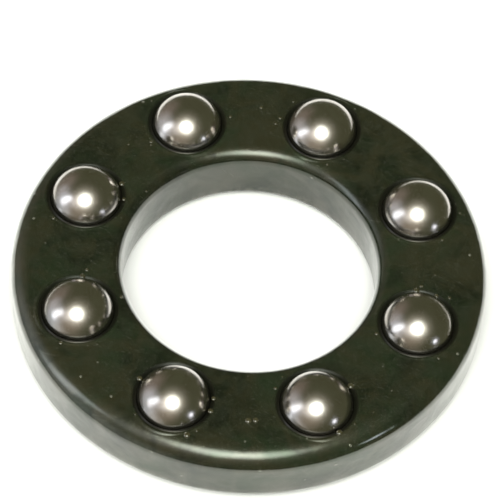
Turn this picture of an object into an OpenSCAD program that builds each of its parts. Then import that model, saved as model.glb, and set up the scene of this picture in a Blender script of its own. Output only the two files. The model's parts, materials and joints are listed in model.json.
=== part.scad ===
// Thrust ball bearing: a solid ring-shaped cage with eight captive balls that
// roll on a grooved race washer sunk into the ring's underside.
// The origin lies on the bearing's axis, on the surface that the washer rests on.

/* [Ring] */
// Bore diameter of the cage ring
bore_d = 28; // [20:0.5:36]
// Ring wall left between a ball and the bore
inner_wall = 1.8; // [1.5:0.1:2.2]
// Ring wall left between a ball and the outside
outer_wall = 2.2; // [1.8:0.1:2.7]
// Thickness of the skirt between the race washer and the bore
inner_skirt = 1.9; // [1.5:0.1:2.3]
// Thickness of the skirt between the race washer and the outside
outer_skirt = 2.3; // [1.9:0.1:2.8]

/* [Balls] */
// Ball diameter
ball_d = 8; // [6.5:0.1:9.6]
// Depth of a ball's centre under the ring's top face
ball_sink = 1.08; // [0.9:0.02:1.3]

/* [Race washer] */
// Steel left under the deepest line of the groove
race_floor = 2.3; // [1.9:0.1:2.8]
// Depth of the groove
groove_depth = 0.9; // [0.7:0.05:1.1]
// How much larger the radius of the groove's section is than a ball's
groove_ease = 0.2; // [0.15:0.05:0.3]

/* [Fits] */
// Clearance all round a ball in its pocket
pocket_gap = 0.04; // [0.03:0.01:0.05]
// Clearance between a ball and the bottom of the groove
groove_gap = 0.02; // [0.01:0.01:0.04]
// Clearance between the race washer and the ring's skirts
side_gap = 0.2; // [0.15:0.05:0.3]
// Clearance between the race washer and the ring's web
web_gap = 0.3; // [0.2:0.05:0.4]
// Clearance under the skirts, above the surface that the washer rests on
skirt_lift = 0.2; // [0.1:0.05:0.3]

/* [Edges] */
// Rounding of the ring's outer top edge
outer_top_r = 2.2; // [1.8:0.1:2.7]
// Rounding of the ring's inner top edge
inner_top_r = 1.6; // [1.3:0.1:1.9]
// Rounding of the ring's outer bottom edge
outer_foot_r = 1.2; // [0.9:0.1:1.5]
// Rounding of the ring's inner bottom edge
inner_foot_r = 0.9; // [0.7:0.1:1.1]
// Width of the soft edge round a pocket's mouth
mouth_w = 0.6; // [0.4:0.05:0.7]
// Depth of the soft edge round a pocket's mouth
mouth_depth = 0.25; // [0.2:0.01:0.3]
// Small edge break on the race washer and inside the skirts
edge_break = 0.3; // [0.2:0.05:0.4]

/* [Hidden] */
ball_count = 8;

ball_r = ball_d / 2;
bore_r = bore_d / 2;
pitch_r = bore_r + inner_wall + ball_r;
outer_r = pitch_r + ball_r + outer_wall;
ball_step = 360 / ball_count;

washer_h = race_floor + groove_depth;
washer_in_r = bore_r + inner_skirt + side_gap;
washer_out_r = outer_r - outer_skirt - side_gap;
groove_r = ball_r + groove_ease;

ball_z = race_floor + groove_gap + ball_r;
top_z = ball_z + ball_sink;
web_z = washer_h + web_gap;

pocket_r = ball_r + pocket_gap;
lip_z = top_z - mouth_depth;
lip_r = sqrt(pow(pocket_r, 2) - pow(lip_z - ball_z, 2));
// Radius of the arc that spans the soft edge's width and depth and ends level
mouth_arc_r = (pow(mouth_w, 2) + pow(mouth_depth, 2)) / (2 * mouth_depth);

over = 0.5;               // how far a cutter runs past the face that it opens
round_fn = 96;
arc_fn = 48;

// Runs once for every ball's place on the pitch circle
function ball_angle(n) = (n - 0.5) * ball_step;

module at_ball(n)
    rotate([0, 0, ball_angle(n)])
        translate([pitch_r, 0, ball_z])
            children();

// What to cut from a section's corner at [x, z] to round it. The section lies
// on the side that side_x and side_z (1 or -1) point to.
module corner_round(x, z, r, side_x, side_z)
    translate([x + side_x * r, z + side_z * r])
        difference() {
            translate([side_x > 0 ? -r - over : 0, side_z > 0 ? -r - over : 0])
                square(r + over);
            circle(r, $fn = arc_fn);
        }

// The same for a flat edge break
module corner_break(x, z, w, side_x, side_z)
    translate([x, z])
        polygon([
            [-side_x * over, -side_z * over],
            [side_x * w, -side_z * over],
            [side_x * w, 0],
            [0, side_z * w],
            [-side_x * over, side_z * w]
        ]);

// Race washer: hardened steel, with a rolling groove in its upper face
module washer_section()
    difference() {
        translate([washer_in_r, 0])
            square([washer_out_r - washer_in_r, washer_h]);
        translate([pitch_r, race_floor + groove_r])
            circle(groove_r, $fn = round_fn);
        for (z_side = [[0, 1], [washer_h, -1]]) {
            corner_break(washer_in_r, z_side[0], edge_break, 1, z_side[1]);
            corner_break(washer_out_r, z_side[0], edge_break, -1, z_side[1]);
        }
    }

module race_washer()
    color("silver")
        rotate_extrude($fn = round_fn)
            washer_section();

// Cage ring: a deep ring whose underside is recessed to take the race washer
module ring_section()
    difference() {
        translate([bore_r, skirt_lift])
            square([outer_r - bore_r, top_z - skirt_lift]);
        corner_round(outer_r, top_z, outer_top_r, -1, -1);
        corner_round(bore_r, top_z, inner_top_r, 1, -1);
        corner_round(outer_r, skirt_lift, outer_foot_r, -1, 1);
        corner_round(bore_r, skirt_lift, inner_foot_r, 1, 1);
        recess_section();
    }

module recess_section() {
    recess_in_r = washer_in_r - side_gap;
    recess_out_r = washer_out_r + side_gap;
    difference() {
        translate([recess_in_r, skirt_lift - over])
            square([recess_out_r - recess_in_r, web_z - skirt_lift + over]);
        corner_break(recess_in_r, web_z, edge_break, 1, -1);
        corner_break(recess_out_r, web_z, edge_break, -1, -1);
    }
    corner_break(recess_in_r, skirt_lift, edge_break, -1, 1);
    corner_break(recess_out_r, skirt_lift, edge_break, 1, 1);
}

// Soft edge that leads from the top face down to a pocket's holding lip
module mouth_cutter()
    rotate_extrude($fn = round_fn)
        difference() {
            translate([0, lip_z - ball_z])
                square([lip_r + mouth_w, mouth_depth + over]);
            translate([lip_r + mouth_w, top_z - ball_z - mouth_arc_r])
                circle(mouth_arc_r, $fn = round_fn);
        }

module pocket_cutter() {
    sphere(pocket_r, $fn = round_fn);
    mouth_cutter();
}

module cage_ring()
    color([0.16, 0.17, 0.12])
        difference() {
            rotate_extrude($fn = round_fn)
                ring_section();
            for (n = [1:ball_count])
                at_ball(n)
                    pocket_cutter();
        }

// Ball: polished bearing steel, held in its pocket by the lip above its centre
module ball(n)
    color("gainsboro")
        at_ball(n)
            sphere(ball_r, $fn = round_fn);

race_washer();
cage_ring();
for (n = [1:ball_count])
    ball(n);
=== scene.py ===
import json
import math

import bmesh
import bpy
from mathutils import Matrix, Vector


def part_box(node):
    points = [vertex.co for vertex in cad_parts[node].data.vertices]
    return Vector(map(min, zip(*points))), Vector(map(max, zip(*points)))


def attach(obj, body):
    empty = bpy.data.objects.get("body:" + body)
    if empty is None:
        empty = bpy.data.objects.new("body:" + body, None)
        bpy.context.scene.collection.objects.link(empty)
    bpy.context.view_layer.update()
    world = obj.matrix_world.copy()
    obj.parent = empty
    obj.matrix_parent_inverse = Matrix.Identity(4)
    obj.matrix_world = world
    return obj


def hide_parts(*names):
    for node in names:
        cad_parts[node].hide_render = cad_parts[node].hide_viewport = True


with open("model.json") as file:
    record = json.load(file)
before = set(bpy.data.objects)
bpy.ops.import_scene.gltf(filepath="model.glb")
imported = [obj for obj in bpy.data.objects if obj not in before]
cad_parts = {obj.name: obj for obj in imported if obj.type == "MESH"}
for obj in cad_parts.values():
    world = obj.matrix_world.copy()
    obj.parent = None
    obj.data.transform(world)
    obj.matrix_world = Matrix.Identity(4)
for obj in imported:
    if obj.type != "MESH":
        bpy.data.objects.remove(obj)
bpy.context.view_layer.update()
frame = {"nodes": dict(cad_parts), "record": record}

MM = 0.001
collection = bpy.context.scene.collection


# ---------------------------------------------------------------- sizes, from the frame

def mount(name):
    """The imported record's mount of that name."""
    return next(m for m in frame["record"]["mounts"] if m["name"] == name)


def wall_ends(m):
    """Lowest and highest point of a round mount's straight wall."""
    half = m["dims"]["length_mm"] * MM / 2
    return m["pos_m"][2] - half, m["pos_m"][2] + half


BALLS = sorted(n for n in frame["nodes"] if n.startswith("ball_"))
BALL_STEP = 2 * math.pi / len(BALLS)

ring_low, ring_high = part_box("cage_ring")
washer_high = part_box("race_washer")[1]
ball_low, ball_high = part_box(BALLS[0])
ball_centre = (Vector(ball_low) + Vector(ball_high)) / 2

BALL_R = (ball_high[2] - ball_low[2]) / 2
BALL_Z = ball_centre.z
PITCH_R = ball_centre.xy.length

TOP_Z = ring_high[2]
SKIRT_Z = ring_low[2]
OUTER_R = mount("outside_wall")["dims"]["r_mm"] * MM
BORE_R = mount("shaft_bore")["dims"]["r_mm"] * MM
outer_wall_low, outer_wall_high = wall_ends(mount("outside_wall"))
bore_wall_low, bore_wall_high = wall_ends(mount("shaft_bore"))
OUTER_TOP_ROUND = TOP_Z - outer_wall_high
OUTER_FOOT_ROUND = outer_wall_low - SKIRT_Z
INNER_TOP_ROUND = TOP_Z - bore_wall_high
INNER_FOOT_ROUND = bore_wall_low - SKIRT_Z

WASHER_H = washer_high[2]
WASHER_OUT_R = washer_high[0]
WASHER_IN_R = 2 * PITCH_R - WASHER_OUT_R

# fits and edges that the frame's boxes don't give
POCKET_GAP = 0.04 * MM
GROOVE_GAP = 0.02 * MM
GROOVE_EASE = 0.2 * MM
SIDE_GAP = 0.2 * MM
WEB_GAP = 0.3 * MM
MOUTH_W = 0.6 * MM
MOUTH_DEPTH = 0.25 * MM
EDGE_BREAK = 0.3 * MM

POCKET_R = BALL_R + POCKET_GAP
WEB_Z = WASHER_H + WEB_GAP
LIP_Z = TOP_Z - MOUTH_DEPTH
LIP_R = math.sqrt(POCKET_R ** 2 - (LIP_Z - BALL_Z) ** 2)
MOUTH_R = LIP_R + MOUTH_W
MOUTH_ARC_R = (MOUTH_W ** 2 + MOUTH_DEPTH ** 2) / (2 * MOUTH_DEPTH)
RECESS_IN_R = WASHER_IN_R - SIDE_GAP
RECESS_OUT_R = WASHER_OUT_R + SIDE_GAP


# ---------------------------------------------------------------- camera, floor, light

CAMERA_AZIMUTH = math.radians(-1.2)
CAMERA_ELEVATION = math.radians(54.6)
CAMERA_ROLL = math.radians(3.43)
CAMERA_DISTANCE = 13.5 * OUTER_R
CAMERA_AIM_RISE = 0.036 * OUTER_R
CAMERA_CLIP = 20      # nearest and farthest seen, as a factor either way of the distance
CAMERA_LENS = 232.0
SENSOR_WIDTH = 36.0

FILL_ELEVATION = math.radians(82)
FILL_DISTANCE = 1.4
FILL_SIZE = 2.4
FILL_POWER = 39.0
FILL_COLOUR = (1.0, 1.0, 0.99)


def direction(azimuth, elevation):
    """Unit vector from the part towards a place round it. Azimuth 0 is the camera's side."""
    return Vector((
        math.sin(azimuth) * math.cos(elevation),
        -math.cos(azimuth) * math.cos(elevation),
        math.sin(elevation),
    ))


def add_object(name, data):
    """A new object in the scene."""
    obj = bpy.data.objects.new(name, data)
    collection.objects.link(obj)
    return obj


def make_camera():
    """Looks down on the part from the front, a little rolled, as it is usually seen."""
    back = direction(CAMERA_AZIMUTH, CAMERA_ELEVATION)
    level = back.to_track_quat("Z", "Y").to_matrix()
    turned = level @ Matrix.Rotation(CAMERA_ROLL, 3, "Z")
    camera = add_object("camera", bpy.data.cameras.new("camera"))
    camera.data.lens = CAMERA_LENS
    camera.data.sensor_width = SENSOR_WIDTH
    camera.data.clip_start = CAMERA_DISTANCE / CAMERA_CLIP
    camera.data.clip_end = CAMERA_DISTANCE * CAMERA_CLIP
    aim = Vector((0, 0, TOP_Z)) + turned.col[1] * CAMERA_AIM_RISE
    placed = turned.to_4x4()
    placed.translation = aim + back * CAMERA_DISTANCE
    camera.matrix_world = placed
    bpy.context.scene.camera = camera


def make_fill_lamp():
    """A broad soft lamp overhead. It brightens the floor and doesn't show in the shiny pieces."""
    data = bpy.data.lights.new("overhead fill", "AREA")
    data.shape = "RECTANGLE"
    data.size = data.size_y = FILL_SIZE
    data.energy = FILL_POWER
    data.color = FILL_COLOUR
    lamp = add_object("overhead fill", data)
    towards = direction(0, FILL_ELEVATION)
    turned = towards.to_track_quat("Z", "Y").to_matrix().to_4x4()
    lamp.matrix_world = Matrix.Translation(towards * FILL_DISTANCE) @ turned
    lamp.visible_glossy = False
    lamp.visible_camera = False


# ---------------------------------------------------------------- node tree helpers

def feed(tree, node, sockets):
    """Links the node's inputs to other nodes' sockets, or sets them to plain values."""
    for key, value in sockets.items():
        if isinstance(value, bpy.types.NodeSocket):
            tree.links.new(value, node.inputs[key])
        else:
            node.inputs[key].default_value = value


def add_node(tree, kind, sockets=None, **settings):
    """A new node with its settings and its inputs."""
    made = tree.nodes.new(kind)
    for key, value in settings.items():
        setattr(made, key, value)
    feed(tree, made, sockets or {})
    return made


def maths(tree, operation, first, second=0.0, third=0.0):
    """The output of one Math node."""
    made = add_node(tree, "ShaderNodeMath", {0: first, 1: second, 2: third}, operation=operation)
    return made.outputs[0]


def vector_maths(tree, operation, first, second=(0, 0, 0)):
    """The output of one Vector Math node."""
    made = add_node(tree, "ShaderNodeVectorMath", {0: first, 1: second}, operation=operation)
    return made.outputs["Value" if operation in ("DOT_PRODUCT", "LENGTH") else "Vector"]


def times(tree, vector, factor):
    """The vector, made longer by a plain factor."""
    made = add_node(tree, "ShaderNodeVectorMath", {0: vector, "Scale": factor}, operation="SCALE")
    return made.outputs["Vector"]


# ---------------------------------------------------------------- geometry trees

def geometry_tree(name, inputs):
    """A new geometry tree with the named inputs, and its ends: (tree, input node)."""
    tree = bpy.data.node_groups.new(name, "GeometryNodeTree")
    tree.interface.new_socket("Geometry", in_out="INPUT", socket_type="NodeSocketGeometry")
    for label, kind in inputs:
        tree.interface.new_socket(label, in_out="INPUT", socket_type="NodeSocket" + kind)
    tree.interface.new_socket("Geometry", in_out="OUTPUT", socket_type="NodeSocketGeometry")
    return tree, tree.nodes.new("NodeGroupInput")


def finish_tree(tree, start, geometry):
    """Makes instances real, welds, smooths and gives the material."""
    real = add_node(tree, "GeometryNodeRealizeInstances", {"Geometry": geometry})
    welded = add_node(tree, "GeometryNodeMergeByDistance",
                      {"Geometry": real.outputs[0], "Distance": start.outputs["Weld"]})
    smooth = add_node(tree, "GeometryNodeSetShadeSmooth", {"Geometry": welded.outputs[0]})
    coated = add_node(tree, "GeometryNodeSetMaterial",
                      {"Geometry": smooth.outputs[0], "Material": start.outputs["Material"]})
    add_node(tree, "NodeGroupOutput", {"Geometry": coated.outputs[0]})


FINISH_INPUTS = [("Weld", "Float"), ("Material", "Material")]


def repeat_tree():
    """Repeats its geometry round the Z axis."""
    tree, start = geometry_tree("repeat round the axis", [
        ("Count", "Int"), ("First Angle", "Float"), *FINISH_INPUTS])
    places = add_node(tree, "GeometryNodePoints", {"Count": start.outputs["Count"]})
    index = add_node(tree, "GeometryNodeInputIndex").outputs[0]
    step = maths(tree, "DIVIDE", 2 * math.pi, start.outputs["Count"])
    angle = maths(tree, "MULTIPLY_ADD", index, step, start.outputs["First Angle"])
    turn = add_node(tree, "ShaderNodeCombineXYZ", {"Z": angle})
    copies = add_node(tree, "GeometryNodeInstanceOnPoints", {
        "Points": places.outputs[0], "Instance": start.outputs["Geometry"],
        "Rotation": turn.outputs[0]})
    finish_tree(tree, start, copies.outputs[0])
    return tree


def lathe_tree():
    """Turns a closed section, a run of vertices in the XZ plane, about the Z axis."""
    tree, start = geometry_tree("turned on a lathe", [("Segments", "Int"), *FINISH_INPUTS])
    section = start.outputs["Geometry"]
    size = add_node(tree, "GeometryNodeAttributeDomainSize", {"Geometry": section})
    count = size.outputs["Point Count"]
    columns = maths(tree, "ADD", start.outputs["Segments"], 1.0)
    grid = add_node(tree, "GeometryNodeMeshGrid", {"Vertices X": columns, "Vertices Y": count})
    index = add_node(tree, "GeometryNodeInputIndex").outputs[0]
    row = maths(tree, "FLOORED_MODULO", index, count)
    column = maths(tree, "FLOOR", maths(tree, "DIVIDE", maths(tree, "ADD", index, 0.5), count))
    position = add_node(tree, "GeometryNodeInputPosition").outputs[0]
    point = add_node(tree, "GeometryNodeSampleIndex", {
        "Geometry": section, "Value": position, "Index": row}, data_type="FLOAT_VECTOR")
    step = maths(tree, "DIVIDE", 2 * math.pi, start.outputs["Segments"])
    turned = add_node(tree, "ShaderNodeVectorRotate", {
        "Vector": point.outputs[0], "Angle": maths(tree, "MULTIPLY", column, step)},
        rotation_type="Z_AXIS")
    shaped = add_node(tree, "GeometryNodeSetPosition", {
        "Geometry": grid.outputs["Mesh"], "Position": turned.outputs[0]})
    finish_tree(tree, start, shaped.outputs[0])
    return tree


def ball_tree():
    """A ball of even square facets, blown up from a cube."""
    tree, start = geometry_tree("lapped ball", [
        ("Facets", "Int"), ("Radius", "Float"), ("Centre", "Vector"), *FINISH_INPUTS])
    cuts = maths(tree, "ADD", start.outputs["Facets"], 1.0)
    cube = add_node(tree, "GeometryNodeMeshCube", {
        "Size": (2, 2, 2), "Vertices X": cuts, "Vertices Y": cuts, "Vertices Z": cuts})
    position = add_node(tree, "GeometryNodeInputPosition").outputs[0]
    # equal angles between the facets' edges, not equal lengths on the cube's face
    split = add_node(tree, "ShaderNodeSeparateXYZ", {0: position})
    even = add_node(tree, "ShaderNodeCombineXYZ", {
        axis: maths(tree, "TANGENT", maths(tree, "MULTIPLY", split.outputs[axis], math.pi / 4))
        for axis in ("X", "Y", "Z")})
    outward = vector_maths(tree, "NORMALIZE", even.outputs[0])
    sized = times(tree, outward, start.outputs["Radius"])
    placed = vector_maths(tree, "ADD", sized, start.outputs["Centre"])
    shaped = add_node(tree, "GeometryNodeSetPosition", {
        "Geometry": cube.outputs["Mesh"], "Position": placed})
    finish_tree(tree, start, shaped.outputs[0])
    return tree


def run_tree(name, mesh, tree, values):
    """An object whose plain mesh is what the tree makes of the mesh given."""
    obj = add_object(name, mesh)
    modifier = obj.modifiers.new("shape", "NODES")
    modifier.node_group = tree
    inputs = [item for item in tree.interface.items_tree if item.in_out == "INPUT"]
    keys = {item.name: item.identifier for item in inputs}
    for label, value in values.items():
        modifier[keys[label]] = value
    evaluated = obj.evaluated_get(bpy.context.evaluated_depsgraph_get())
    made = bpy.data.meshes.new_from_object(evaluated)
    made.name = name
    obj.modifiers.clear()
    obj.data = made
    return obj


def face_outwards(obj, crease=math.radians(30)):
    """Turns every face outwards and keeps edges sharper than the crease angle crisp."""
    work = bmesh.new()
    work.from_mesh(obj.data)
    bmesh.ops.recalc_face_normals(work, faces=work.faces)
    work.to_mesh(obj.data)
    work.free()
    obj.data.set_sharp_from_angle(angle=crease)


# ---------------------------------------------------------------- sections and patches

SAME_POINT = 1e-9     # points of a section nearer than this are one


def arc(centre_r, centre_z, radius, first, last, steps):
    """Points along an arc in a section, angles in degrees, both ends included."""
    return [
        (centre_r + radius * math.cos(a), centre_z + radius * math.sin(a))
        for a in (math.radians(first + (last - first) * i / steps) for i in range(steps + 1))
    ]


def line(first, last, steps):
    """Points along a straight stretch of a section, both ends included."""
    return [
        (first[0] + (last[0] - first[0]) * i / steps, first[1] + (last[1] - first[1]) * i / steps)
        for i in range(steps + 1)
    ]


def joined(*stretches):
    """Stretches of a section as one run, without the points that repeat."""
    run = []
    for point in (p for stretch in stretches for p in stretch):
        if not run or math.dist(run[-1], point) > SAME_POINT:
            run.append(point)
    return run


class Patches:
    """Gathers grids of points into one mesh. Neighbours meet in equal points, welded later."""

    def __init__(self):
        self.points = []
        self.faces = []

    def add(self, rows, closed):
        base, width = len(self.points), len(rows[0])
        for row in rows:
            self.points.extend(row)
        last = width if closed else width - 1
        for i in range(len(rows) - 1):
            for j in range(last):
                k = (j + 1) % width
                a, b = base + i * width, base + (i + 1) * width
                self.faces.append((a + j, a + k, b + k, b + j))

    def mesh(self, name):
        made = bpy.data.meshes.new(name)
        made.from_pydata(self.points, [], self.faces)
        return made


def section_mesh(name, section):
    """A closed section as a run of loose vertices, its first point repeated at the end."""
    made = bpy.data.meshes.new(name)
    made.from_pydata([(r, 0, z) for r, z in [*section, section[0]]], [], [])
    return made


def mark(obj, name, amount):
    """Stores amount(radius from the axis, point) on every vertex, for the materials."""
    points = [vertex.co for vertex in obj.data.vertices]
    amounts = [amount(math.hypot(point.x, point.y), point) for point in points]
    obj.data.attributes.new(name, "FLOAT", "POINT").data.foreach_set("value", amounts)


def closeness(distance, reach):
    """1 where the distance is nothing, 0 from reach on."""
    return max(0.0, 1.0 - abs(distance) / reach)


# ---------------------------------------------------------------- cage ring

# one ball's share of the ring: how finely each part of it is divided
ARC_STEPS = 40        # along the ring
SIDE_STEPS = 30       # across the ring, between two balls
MOUTH_STEPS = 10
RIDGE_STEPS = 8
FACE_STEPS = 18
POCKET_STEPS = 16
WEB_STEPS = 8
OUTER_TOP_STEPS = 20
INNER_TOP_STEPS = 16
FOOT_STEPS = 12
WALL_STEPS = 6
SKIRT_STEPS = 4
SOLE_STEPS = 2        # the skirts' flat undersides
RING_WELD = 0.002 * MM

FRAME_HALF = MOUTH_R + 0.45 * MM    # half width, along the radius, of the face round a ball
RIDGE_H = 0.055 * MM  # ridge that staking the lip over the ball raises round the mouth
RIDGE_W = 0.32 * MM   # how far it runs out on the flat

RUB_REACH = 0.5 * MM  # how far from an edge the steel gets rubbed

# painted shade: how much each place is darkened, from 0 to 1, in the pockets' mouths, the recess,
# the bore and the walls' foot, where shade falls
LEVEL_SLACK = 0.01 * MM
RECESS_PAINTED_SHADE = 0.8
MOUTH_PAINTED_SHADE = 0.9
BORE_PAINTED_SHADE = 0.24
BORE_FOOT_PAINTED_SHADE = 0.60
BORE_FOOT_REACH = 2.2 * MM
FOOT_PAINTED_SHADE = 0.25
FOOT_REACH = 1.0 * MM


def top_height(x, y):
    """Height of the ring's top: the flat, its rounded edges, the pocket's soft mouth and ridge."""
    r = math.hypot(x, y)
    height = TOP_Z
    past_outer = r - (OUTER_R - OUTER_TOP_ROUND)
    past_inner = (BORE_R + INNER_TOP_ROUND) - r
    if past_outer > 0:
        height -= OUTER_TOP_ROUND - math.sqrt(OUTER_TOP_ROUND ** 2 - past_outer ** 2)
    if past_inner > 0:
        height -= INNER_TOP_ROUND - math.sqrt(INNER_TOP_ROUND ** 2 - past_inner ** 2)
    into_mouth = MOUTH_R - math.hypot(x - PITCH_R, y)
    if into_mouth > 0:
        height -= MOUTH_ARC_R - math.sqrt(MOUTH_ARC_R ** 2 - into_mouth ** 2)
    from_ridge = into_mouth / MOUTH_W if into_mouth > 0 else -into_mouth / RIDGE_W
    return height + RIDGE_H * math.cos(math.pi / 2 * min(1.0, from_ridge)) ** 2


def share_outline(inner_r, outer_r):
    """Plan outline of one ball's share of the ring, anticlockwise, as (x, y) points."""
    half = BALL_STEP / 2
    angles = [-half + BALL_STEP * i / ARC_STEPS for i in range(ARC_STEPS + 1)]
    radii = [inner_r + (outer_r - inner_r) * i / SIDE_STEPS for i in range(SIDE_STEPS + 1)]
    outside = [(outer_r, a) for a in angles]
    left = [(r, half) for r in reversed(radii)]
    inside = [(inner_r, a) for a in reversed(angles)]
    right = [(r, -half) for r in radii]
    outline = outside[:-1] + left[:-1] + inside[:-1] + right[:-1]
    return [(r * math.cos(a), r * math.sin(a)) for r, a in outline]


def circle_under(outline, radius):
    """Points on a circle about the ball, each in the direction of an outline's point."""
    points = []
    for x, y in outline:
        a = math.atan2(y, x - PITCH_R)
        points.append((PITCH_R + radius * math.cos(a), radius * math.sin(a)))
    return points


def between(first, last, share):
    """The points that lie that share of the way from the first points to the last."""
    return [
        (ax + (bx - ax) * share, ay + (by - ay) * share)
        for (ax, ay), (bx, by) in zip(first, last)
    ]


def swept(section):
    """Rows of points that carry a section along one ball's share of the ring."""
    half = BALL_STEP / 2
    angles = [-half + BALL_STEP * i / ARC_STEPS for i in range(ARC_STEPS + 1)]
    return [[(r * math.cos(a), r * math.sin(a), z) for a in angles] for r, z in section]


def ring_share():
    """One ball's share of the cage ring: an eighth of it, centred on the X axis."""
    patches = Patches()
    frame_in, frame_out = PITCH_R - FRAME_HALF, PITCH_R + FRAME_HALF
    outline = share_outline(frame_in, frame_out)

    # upper surface, from the lip out to the frame
    rows = [circle_under(outline, LIP_R + MOUTH_W * i / MOUTH_STEPS) for i in range(MOUTH_STEPS)]
    rows += [circle_under(outline, MOUTH_R + RIDGE_W * i / RIDGE_STEPS) for i in range(RIDGE_STEPS)]
    ridge_foot = circle_under(outline, MOUTH_R + RIDGE_W)
    rows += [between(ridge_foot, outline, i / FACE_STEPS) for i in range(FACE_STEPS + 1)]
    patches.add([[(x, y, top_height(x, y)) for x, y in row] for row in rows], closed=True)

    # pocket wall, from the web up to the lip
    foot = WEB_Z - BALL_Z
    levels = [foot + (LIP_Z - WEB_Z) * i / POCKET_STEPS for i in range(POCKET_STEPS + 1)]
    circles = [circle_under(outline, math.sqrt(POCKET_R ** 2 - level ** 2)) for level in levels]
    patches.add([
        [(x, y, BALL_Z + level) for x, y in circle]
        for circle, level in zip(circles, levels)], closed=True)

    # underside of the web, from the opening under the ball out to the recess
    web_outline = share_outline(RECESS_IN_R + EDGE_BREAK, RECESS_OUT_R - EDGE_BREAK)
    opening = circle_under(outline, math.sqrt(POCKET_R ** 2 - foot ** 2))
    patches.add([
        [(x, y, WEB_Z) for x, y in between(opening, web_outline, i / WEB_STEPS)]
        for i in range(WEB_STEPS + 1)], closed=True)

    # outer and inner walls with their skirts
    outer_centre = (OUTER_R - OUTER_TOP_ROUND, TOP_Z - OUTER_TOP_ROUND)
    outer_start = math.degrees(math.acos((frame_out - outer_centre[0]) / OUTER_TOP_ROUND))
    patches.add(swept(joined(
        arc(*outer_centre, OUTER_TOP_ROUND, outer_start, 0, OUTER_TOP_STEPS),
        line((OUTER_R, outer_wall_high), (OUTER_R, outer_wall_low), WALL_STEPS),
        arc(OUTER_R - OUTER_FOOT_ROUND, outer_wall_low, OUTER_FOOT_ROUND, 0, -90, FOOT_STEPS),
        line((OUTER_R - OUTER_FOOT_ROUND, SKIRT_Z), (RECESS_OUT_R + EDGE_BREAK, SKIRT_Z),
             SOLE_STEPS),
        line((RECESS_OUT_R, SKIRT_Z + EDGE_BREAK), (RECESS_OUT_R, WEB_Z - EDGE_BREAK), SKIRT_STEPS),
        [(RECESS_OUT_R - EDGE_BREAK, WEB_Z)])), closed=False)
    inner_centre = (BORE_R + INNER_TOP_ROUND, TOP_Z - INNER_TOP_ROUND)
    inner_start = math.degrees(math.acos((frame_in - inner_centre[0]) / INNER_TOP_ROUND))
    patches.add(swept(joined(
        arc(*inner_centre, INNER_TOP_ROUND, inner_start, 180, INNER_TOP_STEPS),
        line((BORE_R, bore_wall_high), (BORE_R, bore_wall_low), WALL_STEPS),
        arc(BORE_R + INNER_FOOT_ROUND, bore_wall_low, INNER_FOOT_ROUND, 180, 270, FOOT_STEPS),
        line((BORE_R + INNER_FOOT_ROUND, SKIRT_Z), (RECESS_IN_R - EDGE_BREAK, SKIRT_Z),
             SOLE_STEPS),
        line((RECESS_IN_R, SKIRT_Z + EDGE_BREAK), (RECESS_IN_R, WEB_Z - EDGE_BREAK), SKIRT_STEPS),
        [(RECESS_IN_R + EDGE_BREAK, WEB_Z)])), closed=False)
    return patches.mesh("ring share")


def from_ball_axis(point):
    """Distance in plan from the nearest ball's centre."""
    turn = math.atan2(point.y, point.x) / BALL_STEP
    off = (turn - math.floor(turn) - 0.5) * BALL_STEP
    r = math.hypot(point.x, point.y)
    return math.hypot(r * math.cos(off) - PITCH_R, r * math.sin(off))


def ring_edge(r, point):
    """Where the ring gets rubbed: the two edges of its foot."""
    beside = max(closeness(r - OUTER_R, RUB_REACH), closeness(r - BORE_R, RUB_REACH))
    return beside * closeness(point.z - SKIRT_Z - RUB_REACH, 2 * RUB_REACH)


def ring_painted_shade(r, point):
    """Painted shade: darkens the pockets and their mouths, the recess, the bore and the foot of the
    walls, where shade falls.
    """
    above_foot = point.z - SKIRT_Z
    under_web = point.z < WEB_Z + LEVEL_SLACK
    if under_web and RECESS_IN_R - EDGE_BREAK < r < RECESS_OUT_R + EDGE_BREAK:
        return RECESS_PAINTED_SHADE
    if r < BORE_R + INNER_FOOT_ROUND:
        return max(BORE_PAINTED_SHADE, BORE_FOOT_PAINTED_SHADE * closeness(above_foot, BORE_FOOT_REACH))
    if under_web:
        return FOOT_PAINTED_SHADE * closeness(above_foot, FOOT_REACH)
    past_lip = from_ball_axis(point) - LIP_R
    return max(0.0, min(MOUTH_PAINTED_SHADE, 2.0 - 2.0 * past_lip / MOUTH_W))


def make_cage_ring(repeat, material):
    ring = run_tree("cage_ring_body", ring_share(), repeat, {
        "Count": len(BALLS), "First Angle": BALL_STEP / 2,
        "Weld": RING_WELD, "Material": material})
    face_outwards(ring)
    mark(ring, "edge", ring_edge)
    # painted shade: stores how dark each place of the ring is painted, for its material
    mark(ring, "grime", ring_painted_shade)
    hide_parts("cage_ring")
    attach(ring, "cage")
    return ring


# ---------------------------------------------------------------- oil on the ring

DROP_SEGMENTS = 16
DROP_RINGS = 10
DROP_WELD = 0.0005 * MM
DROP_SEED = 11
DROPS_PER_M2 = 4.0e5      # where the ring is wettest
SMALLEST_DROP = 0.06 * MM
LARGEST_DROP = 0.22 * MM
DROP_FLATNESS = 0.55
DROP_DOWN = 0.4 * MM      # how far down the ring's rounded edges a drop still holds
DRY_BELT = 0.05 * MM      # width of the dry belt round a pocket's mouth
WET_BELT = 0.25 * MM      # distance of the wettest line from the mouth
WET_REACH = 0.35 * MM     # how far from that line it is still wetter than elsewhere
WET_LEAST = 0.05          # how wet the rest of the flat is
BEAD_FLATNESS = 0.65
BEAD_RISE = 0.1           # how far a bead's middle stands above the steel, in bead sizes


def ball_place(name):
    """A ball's centre and radius."""
    low, high = (Vector(corner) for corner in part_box(name))
    return (low + high) / 2, (high.z - low.z) / 2


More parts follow.
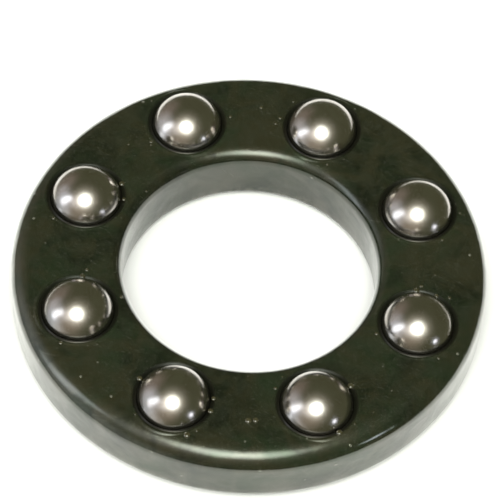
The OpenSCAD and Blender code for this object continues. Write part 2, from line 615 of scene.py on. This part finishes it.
def drops_on(tree, points, size, flatness):
    """The node that puts a drop of the given size on every point."""
    drop = add_node(tree, "GeometryNodeMeshUVSphere", {
        "Segments": DROP_SEGMENTS, "Rings": DROP_RINGS, "Radius": 1.0})
    shape = add_node(tree, "ShaderNodeCombineXYZ", {
        "X": size, "Y": size, "Z": maths(tree, "MULTIPLY", size, flatness)})
    return add_node(tree, "GeometryNodeInstanceOnPoints", {
        "Points": points, "Instance": drop.outputs["Mesh"], "Scale": shape.outputs[0]})


def own_amount(tree, name):
    """The amount of that name that each point of the geometry carries."""
    made = add_node(tree, "GeometryNodeInputNamedAttribute", {"Name": name}, data_type="FLOAT")
    return made.outputs[0]


def drop_tree():
    """Flattened drops scattered over a surface, as densely as its attribute "wet" says."""
    tree, start = geometry_tree("scattered oil drops", [
        ("Density", "Float"), ("Smallest", "Float"), ("Largest", "Float"), ("Flatness", "Float"),
        ("Seed", "Int"), *FINISH_INPUTS])
    density = maths(tree, "MULTIPLY", own_amount(tree, "wet"), start.outputs["Density"])
    places = add_node(tree, "GeometryNodeDistributePointsOnFaces", {
        "Mesh": start.outputs["Geometry"], "Seed": start.outputs["Seed"], "Density": density})
    size = add_node(tree, "FunctionNodeRandomValue", {
        2: start.outputs["Smallest"], 3: start.outputs["Largest"], "Seed": start.outputs["Seed"]})
    drops = drops_on(tree, places.outputs["Points"], size.outputs[1], start.outputs["Flatness"])
    tree.links.new(places.outputs["Rotation"], drops.inputs["Rotation"])
    finish_tree(tree, start, drops.outputs[0])
    return tree


def bead_tree():
    """A bead on every vertex, as large as the vertex's attribute "size" says."""
    tree, start = geometry_tree("placed oil beads", [("Flatness", "Float"), *FINISH_INPUTS])
    size = own_amount(tree, "size")
    beads = drops_on(tree, start.outputs["Geometry"], size, start.outputs["Flatness"])
    finish_tree(tree, start, beads.outputs[0])
    return tree


def ring_wet(r, point):
    """Where drops gather: thickly round the pockets' mouths, thinly over the rest of the top."""
    if point.z < TOP_Z - DROP_DOWN:
        return 0.0
    off = from_ball_axis(point)
    if off < MOUTH_R + DRY_BELT:
        return 0.0
    return WET_LEAST + closeness(off - MOUTH_R - WET_BELT, WET_REACH)


def make_oil_drops(ring, tree, material):
    """Small drops that the ring carries, mostly round its pockets."""
    mark(ring, "wet", ring_wet)
    drops = run_tree("oil_drops", ring.data.copy(), tree, {
        "Density": DROPS_PER_M2, "Smallest": SMALLEST_DROP, "Largest": LARGEST_DROP,
        "Flatness": DROP_FLATNESS, "Seed": DROP_SEED, "Weld": DROP_WELD, "Material": material})
    face_outwards(drops, crease=math.pi)
    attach(drops, "cage")


# larger beads beside a ball: the ball's name, the direction from its centre in degrees,
# and the distance from its centre and the size in mm
OIL_BEADS = [
    ("ball_4", 25, 4.25, 0.34), ("ball_4", -4, 4.2, 0.24),
    ("ball_5", 87, 4.25, 0.36),
    ("ball_6", -71, 4.95, 0.38), ("ball_6", 0, 4.25, 0.28),
    ("ball_6", -22, 4.3, 0.32), ("ball_6", 150, 4.25, 0.32),
    ("ball_6", -18, 8.4, 0.36), ("ball_6", -16, 9.1, 0.34),
    ("ball_7", 33, 4.25, 0.38), ("ball_7", -56, 4.35, 0.36),
    ("ball_8", 92, 4.25, 0.36), ("ball_8", 61, 4.2, 0.26),
]


def make_oil_beads(tree, material):
    """Beads of oil that lie where the ring lets them: in the pockets' mouths and on the flat."""
    places = []
    for name, towards, off, size in OIL_BEADS:
        centre = ball_place(name)[0]
        turned = math.radians(towards)
        x, y = centre.x + off * MM * math.cos(turned), centre.y + off * MM * math.sin(turned)
        turned -= math.atan2(centre.y, centre.x)
        height = top_height(PITCH_R + off * MM * math.cos(turned), off * MM * math.sin(turned))
        places.append((x, y, height + BEAD_RISE * size * MM))
    mesh = bpy.data.meshes.new("oil_beads")
    mesh.from_pydata(places, [], [])
    sizes = mesh.attributes.new("size", "FLOAT", "POINT")
    sizes.data.foreach_set("value", [size * MM for *_, size in OIL_BEADS])
    beads = run_tree("oil_beads", mesh, tree, {
        "Flatness": BEAD_FLATNESS, "Weld": DROP_WELD, "Material": material})
    face_outwards(beads, crease=math.pi)
    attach(beads, "cage")


# ---------------------------------------------------------------- balls and race washer

BALL_FACETS = 32      # along each edge of the cube that a ball is blown up from
WASHER_SEGMENTS = 256
GROOVE_STEPS = 32
UNDERSIDE_STEPS = 16
EDGE_STEPS = 4
STEEL_WELD = 0.001 * MM


def make_ball(name, tree, material):
    centre, radius = ball_place(name)
    ball = run_tree(name + "_body", bpy.data.meshes.new(name), tree, {
        "Facets": BALL_FACETS, "Radius": radius, "Centre": centre,
        "Weld": STEEL_WELD, "Material": material})
    face_outwards(ball)
    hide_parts(name)
    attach(ball, name)


def washer_section():
    """Section of the race washer: broken edges and the rolling groove."""
    groove_r = BALL_R + GROOVE_EASE
    groove_z = BALL_Z - BALL_R - GROOVE_GAP + groove_r
    groove_half = math.degrees(math.acos((groove_z - WASHER_H) / groove_r))
    b = EDGE_BREAK
    return joined(
        line((WASHER_IN_R + b, 0), (WASHER_OUT_R - b, 0), UNDERSIDE_STEPS),
        line((WASHER_OUT_R, b), (WASHER_OUT_R, WASHER_H - b), EDGE_STEPS),
        [(WASHER_OUT_R - b, WASHER_H)],
        arc(PITCH_R, groove_z, groove_r, groove_half - 90, -groove_half - 90, GROOVE_STEPS),
        [(WASHER_IN_R + b, WASHER_H)],
        line((WASHER_IN_R, WASHER_H - b), (WASHER_IN_R, b), EDGE_STEPS))


def washer_edge(r, point):
    """The washer's four broken edges."""
    side = max(closeness(r - WASHER_IN_R, RUB_REACH), closeness(r - WASHER_OUT_R, RUB_REACH))
    return side * max(closeness(point.z, RUB_REACH), closeness(point.z - WASHER_H, RUB_REACH))


def make_race_washer(tree, material):
    section = section_mesh("washer section", washer_section())
    washer = run_tree("race_washer_body", section, tree, {
        "Segments": WASHER_SEGMENTS, "Weld": STEEL_WELD, "Material": material})
    face_outwards(washer)
    mark(washer, "edge", washer_edge)
    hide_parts("race_washer")
    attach(washer, "race_washer")


# ---------------------------------------------------------------- shader groups

def shader_group(name, inputs, outputs):
    """A new shader node group and its input sockets."""
    tree = bpy.data.node_groups.new(name, "ShaderNodeTree")
    for label, kind in inputs:
        tree.interface.new_socket(label, in_out="INPUT", socket_type="NodeSocket" + kind)
    for label, kind in outputs:
        tree.interface.new_socket(label, in_out="OUTPUT", socket_type="NodeSocket" + kind)
    return tree, tree.nodes.new("NodeGroupInput").outputs


def smooth_step(tree, value, low, high):
    """0 below low, 1 above high, eased between."""
    made = add_node(tree, "ShaderNodeMapRange", {
        "Value": value, "From Min": low, "From Max": high}, interpolation_type="SMOOTHSTEP")
    return made.outputs[0]


def mix_colours(tree, factor, first, second):
    """The first colour where the factor is 0, the second where it is 1."""
    made = add_node(tree, "ShaderNodeMix", data_type="RGBA")
    sockets = {socket.name: socket for socket in made.inputs if socket.type == "RGBA"}
    tree.links.new(factor, made.inputs[0])
    for label, value in (("A", first), ("B", second)):
        if isinstance(value, bpy.types.NodeSocket):
            tree.links.new(value, sockets[label])
        else:
            sockets[label].default_value = (*value, 1)
    return next(socket for socket in made.outputs if socket.type == "RGBA")


def scaled(tree, vector, size):
    """The vector measured in lengths of size."""
    return times(tree, vector, maths(tree, "DIVIDE", 1.0, size))


def noise(tree, vector, scale=1.0, detail=2.0, roughness=0.5, distortion=0.0):
    """The pattern of one noise texture."""
    return add_node(tree, "ShaderNodeTexNoise", {
        "Vector": vector, "Scale": scale, "Detail": detail, "Roughness": roughness,
        "Distortion": distortion}).outputs[0]


def oil_film_group():
    """Oil lying in patches: where it is thick, and the slow waves of its surface."""
    tree, start = shader_group(
        "oil film", [("Vector", "Vector"), ("Patch Size", "Float")],
        [("Thickness", "Float"), ("Waves", "Float")])
    place = scaled(tree, start["Vector"], start["Patch Size"])
    patches = noise(tree, place, detail=6.0, roughness=0.62, distortion=0.9)
    waves = noise(tree, place, scale=1.7, roughness=0.4, distortion=0.4)
    add_node(tree, "NodeGroupOutput", {
        "Thickness": smooth_step(tree, patches, 0.36, 0.66), "Waves": waves})
    return tree


def hairline_group():
    """Fine straight marks in three directions, as handling and lapping leave them."""
    tree, start = shader_group(
        "hairline marks", [("Vector", "Vector"), ("Length", "Float"), ("Width", "Float")],
        [("Mask", "Float")])
    along = maths(tree, "DIVIDE", 1.0, start["Length"])
    across = maths(tree, "DIVIDE", 1.0, start["Width"])
    stretch = add_node(tree, "ShaderNodeCombineXYZ", {"X": along, "Y": across, "Z": across})
    marks = None
    for turn in ((0.3, 0.2, 0.5), (1.9, 0.7, 2.3), (0.9, 2.4, 4.0)):
        turned = add_node(tree, "ShaderNodeVectorRotate", {
            "Vector": start["Vector"], "Rotation": turn}, rotation_type="EULER_XYZ").outputs[0]
        lines = noise(tree, vector_maths(tree, "MULTIPLY", turned, stretch.outputs[0]))
        mask = smooth_step(tree, lines, 0.63, 0.76)
        marks = mask if marks is None else maths(tree, "MAXIMUM", marks, mask)
    add_node(tree, "NodeGroupOutput", {"Mask": marks})
    return tree


def turning_group():
    """Rings left by the lathe or the grinding wheel, about the Z axis."""
    tree, start = shader_group(
        "turning marks", [("Vector", "Vector"), ("Pitch", "Float")], [("Height", "Float")])
    split = add_node(tree, "ShaderNodeSeparateXYZ", {0: start["Vector"]}).outputs
    flat = add_node(tree, "ShaderNodeCombineXYZ", {"X": split["X"], "Y": split["Y"]}).outputs[0]
    radius = vector_maths(tree, "LENGTH", flat)
    travel = maths(tree, "MULTIPLY_ADD", split["Z"], 0.83, radius)
    rings = add_node(tree, "ShaderNodeTexNoise", {
        "W": maths(tree, "DIVIDE", travel, start["Pitch"]),
        "Scale": 1.0, "Detail": 3.0, "Roughness": 0.6}, noise_dimensions="1D").outputs[0]
    add_node(tree, "NodeGroupOutput", {"Height": rings})
    return tree


def edge_wear_group():
    """Broken-up wear along edges, from the piece's own edge attribute."""
    tree, start = shader_group(
        "edge wear", [("Vector", "Vector"), ("Edge", "Float"), ("Chip Size", "Float")],
        [("Mask", "Float")])
    place = scaled(tree, start["Vector"], start["Chip Size"])
    chips = noise(tree, place, detail=5.0, roughness=0.65)
    worn = maths(tree, "MULTIPLY", start["Edge"], smooth_step(tree, chips, 0.42, 0.62))
    add_node(tree, "NodeGroupOutput", {"Mask": worn})
    return tree


def speck_group():
    """Small specks of dust and grit caught in the oil, one in each chosen cell."""
    tree, start = shader_group(
        "specks in the oil", [("Vector", "Vector"), ("Spacing", "Float"), ("Share", "Float")],
        [("Mask", "Float")])
    cells = add_node(tree, "ShaderNodeTexVoronoi", {
        "Vector": scaled(tree, start["Vector"], start["Spacing"]), "Scale": 1.0, "Randomness": 1.0})
    draw = add_node(tree, "ShaderNodeSeparateColor", {0: cells.outputs["Color"]}).outputs[0]
    has_speck = maths(tree, "LESS_THAN", draw, start["Share"])
    outside = smooth_step(tree, cells.outputs["Distance"], 0.05, 0.14)
    spot = maths(tree, "SUBTRACT", 1.0, outside)
    add_node(tree, "NodeGroupOutput", {"Mask": maths(tree, "MULTIPLY", has_speck, spot)})
    return tree


# ---------------------------------------------------------------- materials

def new_material(name):
    """A material, its tree, its shader and the place of each of its points in the part."""
    material = bpy.data.materials.new(name)
    material.use_nodes = True
    tree = material.node_tree
    place = add_node(tree, "ShaderNodeTexCoord").outputs["Object"]
    return material, tree, tree.nodes["Principled BSDF"], place


def use_group(tree, group, sockets):
    """The outputs of a shader group placed in a material."""
    return add_node(tree, "ShaderNodeGroup", sockets, node_tree=group).outputs


def bump(tree, height, distance, under=None):
    """A normal raised by height times distance, on top of another normal if one is given."""
    sockets = {"Height": height, "Distance": distance, "Strength": 1.0}
    if under is not None:
        sockets["Normal"] = under
    return add_node(tree, "ShaderNodeBump", sockets).outputs[0]


def stored(tree, name):
    """An amount that mark() put on the piece."""
    return add_node(tree, "ShaderNodeAttribute", attribute_name=name).outputs["Fac"]


def blackened_steel(groups):
    """Deep black-oxide steel of the cage ring, wet with oil."""
    material, tree, shader, place = new_material("blackened steel, oiled")
    film = use_group(tree, groups["oil"], {"Vector": place, "Patch Size": 5.2 * MM})
    fine = use_group(tree, groups["oil"], {"Vector": place, "Patch Size": 1.3 * MM})
    marks = use_group(tree, groups["hairline"], {
        "Vector": place, "Length": 9 * MM, "Width": 0.16 * MM})["Mask"]
    specks = use_group(tree, groups["specks"], {
        "Vector": place, "Spacing": 1.6 * MM, "Share": 0.16})["Mask"]
    wear = use_group(tree, groups["wear"], {
        "Vector": place, "Edge": stored(tree, "edge"), "Chip Size": 0.7 * MM})["Mask"]
    clouds = use_group(tree, groups["oil"], {"Vector": place, "Patch Size": 9.5 * MM})["Thickness"]
    dark_to_green = mix_colours(tree, clouds, (0.007, 0.011, 0.005), (0.022, 0.036, 0.016))
    green_to_brown = mix_colours(tree, film["Thickness"], dark_to_green, (0.037, 0.036, 0.017))
    haze = maths(tree, "MULTIPLY", fine["Thickness"], 0.40)
    clouded = mix_colours(tree, haze, green_to_brown, (0.044, 0.050, 0.032))
    scratched = mix_colours(tree, maths(tree, "MULTIPLY", marks, 0.30), clouded, (0.18, 0.18, 0.15))
    worn = mix_colours(tree, maths(tree, "MULTIPLY", wear, 0.5), scratched, (0.34, 0.33, 0.28))
    dusted = mix_colours(tree, maths(tree, "MULTIPLY", specks, 0.6), worn, (0.34, 0.34, 0.28))
    # painted shade: the stored amount darkens the colour towards near black, roughens it and thins
    # the coat in the pockets' mouths, the recess, the bore and the walls' foot
    grime = stored(tree, "grime")
    colour_with_painted_shade = mix_colours(tree, maths(tree, "MULTIPLY", grime, 0.92), dusted, (0.008, 0.008, 0.005))
    roughness = maths(tree, "MULTIPLY_ADD", fine["Thickness"], -0.06, 0.19)
    roughness = maths(tree, "MULTIPLY_ADD", marks, 0.05, roughness)
    roughness = maths(tree, "MULTIPLY_ADD", grime, 0.25, roughness)
    waves = bump(tree, film["Waves"], 0.16 * MM)
    grit = bump(tree, specks, 0.05 * MM, under=waves)
    normal = bump(tree, marks, -0.004 * MM, under=grit)
    wetness = maths(tree, "MULTIPLY_ADD", film["Thickness"], 0.25, 0.70)
    outside_painted_shade = maths(tree, "MULTIPLY_ADD", grime, -0.85, 1.0)
    feed(tree, shader, {
        "Base Color": colour_with_painted_shade, "Metallic": 0.62, "Roughness": roughness, "Normal": normal,
        "Coat Weight": maths(tree, "MULTIPLY", wetness, outside_painted_shade),
        "Coat Roughness": 0.11, "Coat IOR": 1.66})
    return material


OIL_IOR = 1.6


def thick_oil():
    """Oil that has drawn together: nearly black in the gaps, with bright reflections."""
    material, tree, shader, place = new_material("dark oil")
    cloud = noise(tree, place, scale=900.0, detail=3.0)
    shade = mix_colours(tree, cloud, (0.016, 0.016, 0.008), (0.050, 0.044, 0.020))
    feed(tree, shader, {
        "Base Color": shade, "Roughness": maths(tree, "MULTIPLY_ADD", cloud, 0.05, 0.03),
        "IOR": OIL_IOR, "Normal": bump(tree, cloud, 0.01 * MM),
        "Coat Weight": 1.0, "Coat Roughness": 0.02, "Coat IOR": OIL_IOR})
    return material


def bearing_steel(groups):
    """Lapped ball steel under a thin smear of oil."""
    material, tree, shader, place = new_material("lapped bearing steel")
    film = use_group(tree, groups["oil"], {"Vector": place, "Patch Size": 2.1 * MM})
    marks = use_group(tree, groups["hairline"], {
        "Vector": place, "Length": 2.4 * MM, "Width": 0.05 * MM})["Mask"]
    smear = mix_colours(tree, film["Thickness"], (0.60, 0.565, 0.545), (0.53, 0.485, 0.45))
    marked = mix_colours(tree, maths(tree, "MULTIPLY", marks, 0.25), smear, (0.44, 0.42, 0.40))
    roughness = maths(tree, "MULTIPLY_ADD", film["Thickness"], 0.05, 0.19)
    waves = bump(tree, film["Waves"], 0.012 * MM)
    feed(tree, shader, {
        "Base Color": marked, "Metallic": 1.0,
        "Roughness": maths(tree, "MULTIPLY_ADD", marks, 0.06, roughness),
        "Normal": bump(tree, marks, -0.0008 * MM, under=waves)})
    return material


def ground_steel(groups):
    """Hardened race washer: ground faces and a polished track."""
    material, tree, shader, place = new_material("ground race steel")
    rings = use_group(tree, groups["turning"], {"Vector": place, "Pitch": 0.09 * MM})["Height"]
    film = use_group(tree, groups["oil"], {"Vector": place, "Patch Size": 4.0 * MM})
    marks = use_group(tree, groups["hairline"], {
        "Vector": place, "Length": 5 * MM, "Width": 0.09 * MM})["Mask"]
    wear = use_group(tree, groups["wear"], {
        "Vector": place, "Edge": stored(tree, "edge"), "Chip Size": 0.6 * MM})["Mask"]
    stained = mix_colours(tree, film["Thickness"], (0.50, 0.49, 0.47), (0.36, 0.335, 0.29))
    marked = mix_colours(tree, maths(tree, "MULTIPLY", marks, 0.4), stained, (0.24, 0.23, 0.21))
    bright = mix_colours(tree, maths(tree, "MULTIPLY", wear, 0.6), marked, (0.66, 0.65, 0.63))
    roughness = maths(tree, "MULTIPLY_ADD", film["Thickness"], -0.08, 0.30)
    feed(tree, shader, {
        "Base Color": bright, "Metallic": 1.0,
        "Roughness": maths(tree, "MULTIPLY_ADD", rings, 0.08, roughness),
        "Normal": bump(tree, marks, -0.002 * MM, under=bump(tree, rings, 0.010 * MM))})
    return material


def pale_paper():
    """The floor's matt sheet."""
    material, tree, shader, place = new_material("pale floor")
    cloud = noise(tree, place, scale=9.0, detail=3.0)
    shade = mix_colours(tree, cloud, (0.80, 0.80, 0.79), (0.83, 0.83, 0.82))
    feed(tree, shader, {"Base Color": shade, "Roughness": 0.8, "Specular IOR Level": 0.2})
    return material


# ---------------------------------------------------------------- room

FLOOR_SIDES = 96
NEAR_FLOOR_HALF = (0.044, 0.056)    # half the near floor's width and depth
NEAR_FLOOR_BACK = 0.021             # how far its middle lies behind the part's axis
FAR_FLOOR_R = 4.0


def floor_piece(name, material, rings):
    """A flat piece of floor: a disc for one ring of points, a disc with a hole for two."""
    count = len(rings[0])
    faces = [list(range(count))]
    if len(rings) == 2:
        faces = [(i, count + i, count + (i + 1) % count, (i + 1) % count) for i in range(count)]
    mesh = bpy.data.meshes.new(name)
    mesh.from_pydata([point for ring in rings for point in ring], [], faces)
    mesh.materials.append(material)
    piece = add_object(name, mesh)
    return piece


def make_floor(material):
    """A pale floor in two flush pieces. Only the near one shows in the shiny pieces."""
    turns = [2 * math.pi * i / FLOOR_SIDES for i in range(FLOOR_SIDES)]
    half_x, half_y = NEAR_FLOOR_HALF
    near = [(half_x * math.cos(a), NEAR_FLOOR_BACK + half_y * math.sin(a), 0) for a in turns]
    far = [(FAR_FLOOR_R * math.cos(a), FAR_FLOOR_R * math.sin(a), 0) for a in turns]
    floor_piece("floor_near", material, [near])
    floor_piece("floor_far", material, [near, far]).visible_glossy = False


ROOM_SHADE = (0.094, 0.098, 0.054)
# soft patches of light in the room: azimuth and elevation, the angles from there within which
# it is full and beyond which it is gone, all in degrees, and colour
ROOM_PATCHES = [
    (-3, 57, 1, 28, (7.4, 7.9, 7.3)),
    (-3, 56, 6, 42, (0.46, 0.47, 0.42)),
    (-3, 58, 10, 62, (0.28, 0.26, 0.22)),
    (-32, 26, 12, 62, (0.21, 0.165, 0.14)),
    (-42, 42, 3, 28, (0.55, 0.56, 0.58)),
    (-84, 6, 12, 50, (0.48, 0.52, 0.58)),
    (-80, 8, 2, 15, (1.5, 1.6, 1.75)),
    (-76, 21, 2, 15, (1.8, 1.9, 2.05)),
    (-71, 34, 2, 14, (1.5, 1.6, 1.75)),
    (52, 1, 1.5, 7.5, (4.4, 4.7, 5.4)),
    (-48, -24, 8, 36, (0.40, 0.41, 0.41)),
    (-124, 16, 10, 46, (0.16, 0.12, 0.12)),
]


def make_room_light():
    """A dim room with soft patches of light in it."""
    world = bpy.data.worlds.new("studio")
    bpy.context.scene.world = world
    world.use_nodes = True
    tree = world.node_tree
    towards = add_node(tree, "ShaderNodeTexCoord").outputs["Generated"]
    light = ROOM_SHADE
    for azimuth, elevation, full, gone, colour in ROOM_PATCHES:
        centre = direction(math.radians(azimuth), math.radians(elevation))
        cosine = vector_maths(tree, "DOT_PRODUCT", towards, tuple(centre))
        away = maths(tree, "ARCCOSINE", cosine)
        faded = smooth_step(tree, away, math.radians(full), math.radians(gone))
        near = maths(tree, "SUBTRACT", 1.0, faded)
        light = vector_maths(tree, "ADD", light, times(tree, colour, near))
    tree.links.new(light, tree.nodes["Background"].inputs["Color"])


bpy.context.scene.view_settings.view_transform = "Standard"
make_camera()
make_floor(pale_paper())
make_room_light()
make_fill_lamp()

groups = {
    "oil": oil_film_group(), "hairline": hairline_group(), "turning": turning_group(),
    "wear": edge_wear_group(), "specks": speck_group()}
cage_steel = blackened_steel(groups)
ball_steel = bearing_steel(groups)
race_steel = ground_steel(groups)
cage_ring = make_cage_ring(repeat_tree(), cage_steel)
dark_oil = thick_oil()
make_oil_drops(cage_ring, drop_tree(), dark_oil)
make_oil_beads(bead_tree(), dark_oil)
balls = ball_tree()
for ball_name in BALLS:
    make_ball(ball_name, balls, ball_steel)
make_race_washer(lathe_tree(), race_steel)
